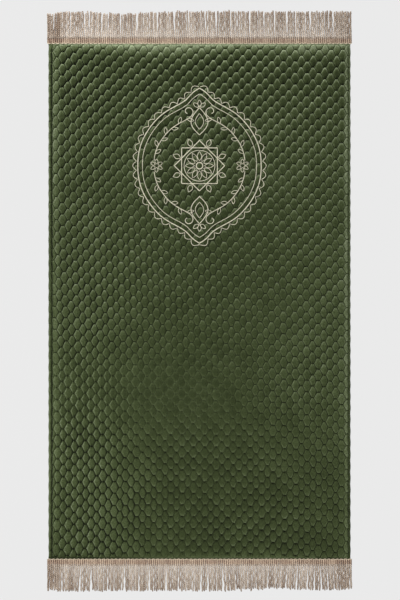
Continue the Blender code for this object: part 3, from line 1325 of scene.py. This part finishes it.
@dataclass
class FringeTrim:
    """One end's trim: ribbed heading, chain stitch and twisted strands."""

    end: End
    seed: int
    heading_start: float
    lean: float
    width: float = 653 * MM
    heading_depth: float = 15 * MM
    base_z: float = 2.3 * MM
    ribs: int = 146
    rib_height: float = 2.2 * MM
    # a wrap of the heading: share of its depth, share of its height, how much lighter
    wraps: tuple[Point, ...] = ((0.0, 0.55, 0.25), (0.12, 0.9, 0.12), (0.4, 1.0, 0.0),
                                (0.75, 0.95, 0.05), (0.93, 0.8, 0.25), (1.0, 0.45, 0.3))
    # painted light round its arch, from side to side and then underneath: a painted highlight on top,
    # painted shade low on the sides and underneath
    arch_painted_light: tuple[float, ...] = (-0.55, -0.25, 0.1, 0.2, 0.1, -0.25, -0.55, -0.55)
    strand_radius: float = 1.95 * MM
    strand_sides: int = 6
    strand_steps: int = 14
    root_cover: float = 4.5 * MM
    longest: float = 622 * MM
    # unevenness: mean and spread of the cut, then ranges of bend, its length and tone
    trimming: Flat = (0.8 * MM, 1.2 * MM)
    curls: Flat = (0.2 * MM, 0.75 * MM)
    waves: Flat = (15 * MM, 28 * MM)
    strand_tones: Flat = (0.28, 0.66)
    clump_sizes: tuple[int, ...] = (2, 3, 4, 5, 6, 7, 8)
    rides: tuple[float, ...] = (0.0, 0.0, 0.6 * MM, 1.2 * MM)
    stitch: float = 8.94 * MM
    stitch_steps: int = 10

    @property
    def pitch(self) -> float:
        """How far apart the ribs and the strands are."""
        return self.width / self.ribs

    def across(self, number: int) -> float:
        """Say where the number-th rib or strand is across the trim."""
        return (number + 0.5) * self.pitch - self.width / 2

    def turned(self, place: Point) -> Point:
        """Turn a point of the top trim to this trim's end."""
        way = self.end.value
        return place[0] * way, place[1] * way, place[2]

    @staticmethod
    def shortfall(x: float) -> float:
        """Say how much shorter, in metres, the strands are cut at a place across."""
        return 5.2 * MM * bell(x, -165 * MM, 70 * MM) + 5.5 * MM * bell(x, -330 * MM, 30 * MM)

    def corner(self, x: float) -> float:
        """Say how dense and dark the yarn is by a corner of the rug, most at the left."""
        most = 0.8 if x * self.end.value < 0.0 else 0.5
        return most * clamped(3.8 - (self.width / 2 - abs(x)) / (10 * MM))

    def finish(self, tubes: TubeMaker, part: str, yarn: bpy.types.Material) -> bpy.types.Object:
        """Put a part of the trim in the scene.

        Args:
            tubes: what was collected of it.
            part: what it is, to be named for its end as well.
            yarn: its finish.

        Returns:
            The new piece.
        """
        return finish_piece(tubes.build(), f"{part}_{self.end.name.lower()}", [yarn])

    def clumps(self, rng: random.Random) -> list[Flat]:
        """Gather the strands in clumps that touch at their tips.

        Args:
            rng: source of the unevenness.

        Returns:
            For each strand, how far its tip stands to the side and how high it rides.
        """
        result: list[Flat] = []
        lean = 0.0
        while len(result) < self.ribs:
            size = min(rng.choice(self.clump_sizes), self.ribs - len(result))
            # A clump leans much as the one beside it, and may cross over it
            lean = 0.55 * lean + rng.uniform(-1.0, 1.0) * self.lean
            for member in range(size):
                away = member - (size - 1) / 2
                close = 0.75 * (2.0 * self.strand_radius - self.pitch) * away
                result.append((close + lean + rng.uniform(-0.7, 0.7) * MM,
                               rng.choice(self.rides)))
        return result

    def strand(self, tubes: TubeMaker, x: float, sway: float, ride: float,
               rng: random.Random) -> None:
        """Add one twisted strand from the heading to its tip on the floor.

        Args:
            tubes: collects the strands.
            x: its root across the trim.
            sway: how far its tip stands to the side.
            ride: how far it rides up on its neighbours.
            rng: source of the unevenness.
        """
        root = self.heading_start + self.heading_depth - self.root_cover
        tip = self.longest - self.shortfall(x) - rng.gauss(*self.trimming)
        phase, second = rng.uniform(0.0, math.tau), rng.uniform(0.0, math.tau)
        curl, wave = rng.uniform(*self.curls), rng.uniform(*self.waves)
        corner = self.corner(x)
        own = rng.uniform(*self.strand_tones) - 0.42 * corner
        stout = self.strand_radius * (1.0 + 0.2 * corner)
        # The outermost strands are drawn in below the heading, and spread again at the tip
        edge = max(0.0, 1.0 - (self.width / 2 - abs(x)) / (9 * MM))
        high, low = self.base_z + 0.9 * MM, self.strand_radius * 0.85
        sections, tones = [], []
        for step in range(self.strand_steps + 1):
            share = step / self.strand_steps
            y = root + (tip - root) * share
            bend = curl * min(1.0, 2.5 * share) * math.sin(math.tau * (y - root) / wave + phase)
            tuck = math.copysign(edge, x) * (1.2 * share - 2.4 * share * (1 - share)) * MM
            middle_x = x + sway * eased(share) + bend + tuck
            # It comes down to the floor soon after its root, and rides on its neighbours
            drop = clamped((y - root - 3 * MM) / (14 * MM))
            middle_z = high + (low - high) * eased(drop)
            middle_z += ride * math.sin(math.pi * min(1.0, share * 1.05)) ** 2
            size = stout * (1.0 + 0.10 * math.sin(2.7 * step + second))
            if step == self.strand_steps:
                size *= 0.6
            ring = []
            for side in range(self.strand_sides):
                angle = math.tau * side / self.strand_sides
                ring.append(self.turned((middle_x + size * math.cos(angle), y,
                                         max(0.02 * MM, middle_z
                                             + size * 0.85 * math.sin(angle)))))
            sections.append(ring)
            # Lighter towards the root; towards the tip a little darker, but lighter by the corners
            tone_along = own + 0.28 * (1 - share) ** 2 + rng.uniform(-0.1, 0.1)
            tone_along += (0.5 * corner - 0.14) * share ** 3
            tones.append([tone_along] * self.strand_sides)
        tubes.add(sections, tones, rng.uniform(0.0, 0.01))

    def build_strands(self, yarn: bpy.types.Material) -> bpy.types.Object:
        """Make all the strands of this end.

        Args:
            yarn: their finish.

        Returns:
            The strands as one piece.
        """
        rng = random.Random(self.seed)
        tubes = TubeMaker()
        for number, (sway, ride) in enumerate(self.clumps(rng)):
            self.strand(tubes, self.across(number), sway, ride, rng)
        return self.finish(tubes, "fringe_strands", yarn)

    def build_heading(self, yarn: bpy.types.Material) -> bpy.types.Object:
        """Make the ribbed heading: one rounded wrap of yarn to each strand.

        Args:
            yarn: its finish.

        Returns:
            The heading.
        """
        rng = random.Random(8)
        tubes = TubeMaker()
        arch = [math.pi * side / 6 for side in range(7)]
        for number in range(self.ribs):
            x = self.across(number)
            tone = rng.uniform(0.30, 0.60) - 0.2 * self.corner(x)
            wide = self.pitch * rng.uniform(0.47, 0.53)
            tall = self.rib_height * rng.uniform(0.9, 1.1)
            sections, tones = [], []
            for share, bow, pale in self.wraps:
                y = self.heading_start + self.heading_depth * share
                ring = [self.turned((x + wide * math.cos(angle), y,
                                     self.base_z + tall * bow * math.sin(angle) ** 0.8))
                        for angle in arch]
                ring.append(self.turned((x, y, self.base_z - 0.15 * MM)))
                sections.append(ring)
                # Each point's tone: the wrap's own tone, how pale it is there, and the painted light round
                # the arch
                tones.append([tone + pale + painted_light_offset for painted_light_offset in self.arch_painted_light])
            tubes.add(sections, tones, rng.uniform(0.0, 0.01))
        return self.finish(tubes, "fringe_heading", yarn)

    def build_chain(self, thread: bpy.types.Material) -> bpy.types.Object:
        """Make the pale chain stitch along the heading's inner edge.

        Args:
            thread: its finish.

        Returns:
            The stitching.
        """
        tubes = TubeMaker()
        rng = random.Random(13)
        count = round(self.width / self.stitch)
        pitch = self.width / count
        steps = self.stitch_steps
        sections, tones = [], []
        for step in range(count * steps + 1):
            x = step * pitch / steps - self.width / 2
            bulge = math.sin(math.pi * (step % steps) / steps)
            y = self.heading_start + 0.9 * MM - 1.2 * MM * bulge
            z = self.base_z + 2.0 * MM + 0.4 * MM * bulge
            size = (0.55 + 0.35 * bulge) * MM
            ring = []
            for side in range(6):
                angle = math.tau * side / 6
                ring.append(self.turned((x, y - 1.2 * size * math.cos(angle),
                                         z + size * math.sin(angle))))
            sections.append(ring)
            tones.append([0.5 + rng.uniform(-0.15, 0.15)] * 6)
        tubes.add(sections, tones)
        return self.finish(tubes, "chain_stitch", thread)


@dataclass(frozen=True)
class SoftLight:
    """One soft rectangular light: where it hangs, what it faces, its size and its watts."""

    name: str
    place: Point
    aim: Point
    size: Flat
    watts: float

    def hang(self) -> None:
        """Put the light in the scene."""
        data = bpy.data.lights.new(self.name, "AREA")
        data.shape = "RECTANGLE"
        data.size, data.size_y = self.size
        data.energy = self.watts
        lamp = bpy.data.objects.new(self.name, data)
        lamp.location = self.place
        ahead = Vector(self.aim) - Vector(self.place)
        lamp.rotation_euler = ahead.to_track_quat("-Z", "Y").to_euler()
        bpy.context.scene.collection.objects.link(lamp)


@dataclass
class Studio:
    """Floor, soft lights and the camera straight above the rug."""

    lens: float = 100.0
    sensor: float = 36.0
    frame_height: float = 600 * METRES_PER_PIXEL
    centre: Flat = (0.5 * METRES_PER_PIXEL, 1.0 * METRES_PER_PIXEL)
    # one high overhead, low ones at the top and left that rake the quilting, soft ones round
    lights: tuple[SoftLight, ...] = (
        SoftLight("overhead", (0.0, 0.0, 4.6), (0.0, 0.0, 0.0), (3.0, 3.0), 110.0),
        SoftLight("low_top", (0.0, 1.15, 0.20), (0.0, 0.2, 0.0), (1.3, 0.2), 5.0),
        SoftLight("low_top_left", (-0.62, 1.0, 0.25), (0.0, 0.1, 0.0), (0.7, 0.25), 4.0),
        SoftLight("low_left", (-0.80, -0.30, 0.18), (0.0, -0.2, 0.0), (0.15, 0.9), 2.5),
        SoftLight("soft_bottom", (0.0, -0.95, 0.85), (0.0, -0.2, 0.0), (1.2, 0.6), 6.0),
        SoftLight("soft_left", (-0.95, 0.0, 0.75), (0.0, 0.0, 0.0), (0.5, 1.2), 3.5),
        SoftLight("soft_right", (0.95, 0.0, 0.75), (0.0, 0.0, 0.0), (0.5, 1.2), 2.5),
    )

    def add_floor(self) -> None:
        """Lay the pale floor under the rug."""
        bpy.ops.object.select_all(action="DESELECT")
        bpy.ops.mesh.primitive_plane_add(size=30.0, location=(0.0, 0.0, -0.05 * MM))
        floor = bpy.context.object
        floor.name = "studio_floor"
        floor.data.materials.append(PaleFloor().build())

    def add_air(self) -> None:
        """Fill the studio with a faint cool light from all round."""
        world = bpy.data.worlds.new("studio_air")
        bpy.context.scene.world = world
        world.use_nodes = True
        background = world.node_tree.nodes["Background"]
        background.inputs["Color"].default_value = linear("F4F6FA")
        background.inputs["Strength"].default_value = 0.04

    def add_camera(self) -> None:
        """Hang the camera straight above, at the photograph's framing."""
        data = bpy.data.cameras.new("overhead")
        data.lens = self.lens
        data.sensor_width = self.sensor
        data.clip_end = 50.0
        camera = bpy.data.objects.new("overhead", data)
        distance = self.lens / self.sensor * self.frame_height
        camera.location = (self.centre[0], self.centre[1], distance)
        bpy.context.scene.collection.objects.link(camera)
        bpy.context.scene.camera = camera

    def build(self) -> None:
        """Set up the whole studio."""
        self.add_floor()
        for light in self.lights:
            light.hang()
        self.add_air()
        self.add_camera()
        bpy.context.scene.view_settings.view_transform = "Standard"


def main() -> None:
    """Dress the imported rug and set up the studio."""
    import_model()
    velvet = PileVelvet().build()
    backing = PlainBacking().build()
    strand_yarn = PlyYarn("twisted_yarn_sand", "745F4E", "CFC1B1").build()
    heading_yarn = PlyYarn("wrapped_yarn_heading", "66493A", "C9B39C", plies=1,
                           twist_mm=2.6, relief_mm=0.2).build()
    chain_thread = PlyYarn("chain_thread_pale", "A1927A", "E2D3BA", twist_mm=3.0,
                           relief_mm=0.2).build()
    satin_thread = PlyYarn("satin_thread_ecru", "A9A388", "E8E3CE", plies=1, twist_mm=1.4,
                           relief_mm=0.15).build()
    hem_thread = PlyYarn("sewing_thread_green", "262D18", "4A5436", twist_mm=1.2,
                         relief_mm=0.1).build()

    panel = QuiltedPanel(Quilting()).build(velvet, backing)
    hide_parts("quilted_panel")
    laid = [Ornament().build(panel, satin_thread), HemStitching().build(panel, hem_thread)]
    # The bottom trim is sewn on a little lower, and its clumps lean further
    for trim in (FringeTrim(End.TOP, seed=21, heading_start=551.8 * MM, lean=1.3 * MM),
                 FringeTrim(End.BOTTOM, seed=34, heading_start=553.1 * MM, lean=2.3 * MM)):
        heading = trim.build_heading(heading_yarn)
        strands = trim.build_strands(strand_yarn)
        chain = trim.build_chain(chain_thread)
        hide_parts(f"fringe_trim_{trim.end.name.lower()}")
        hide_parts(f"fringe_trim_{trim.end.name.lower()}")
        laid += [heading, strands, chain]
    Studio().build()


if __name__ == "__main__":
    main()
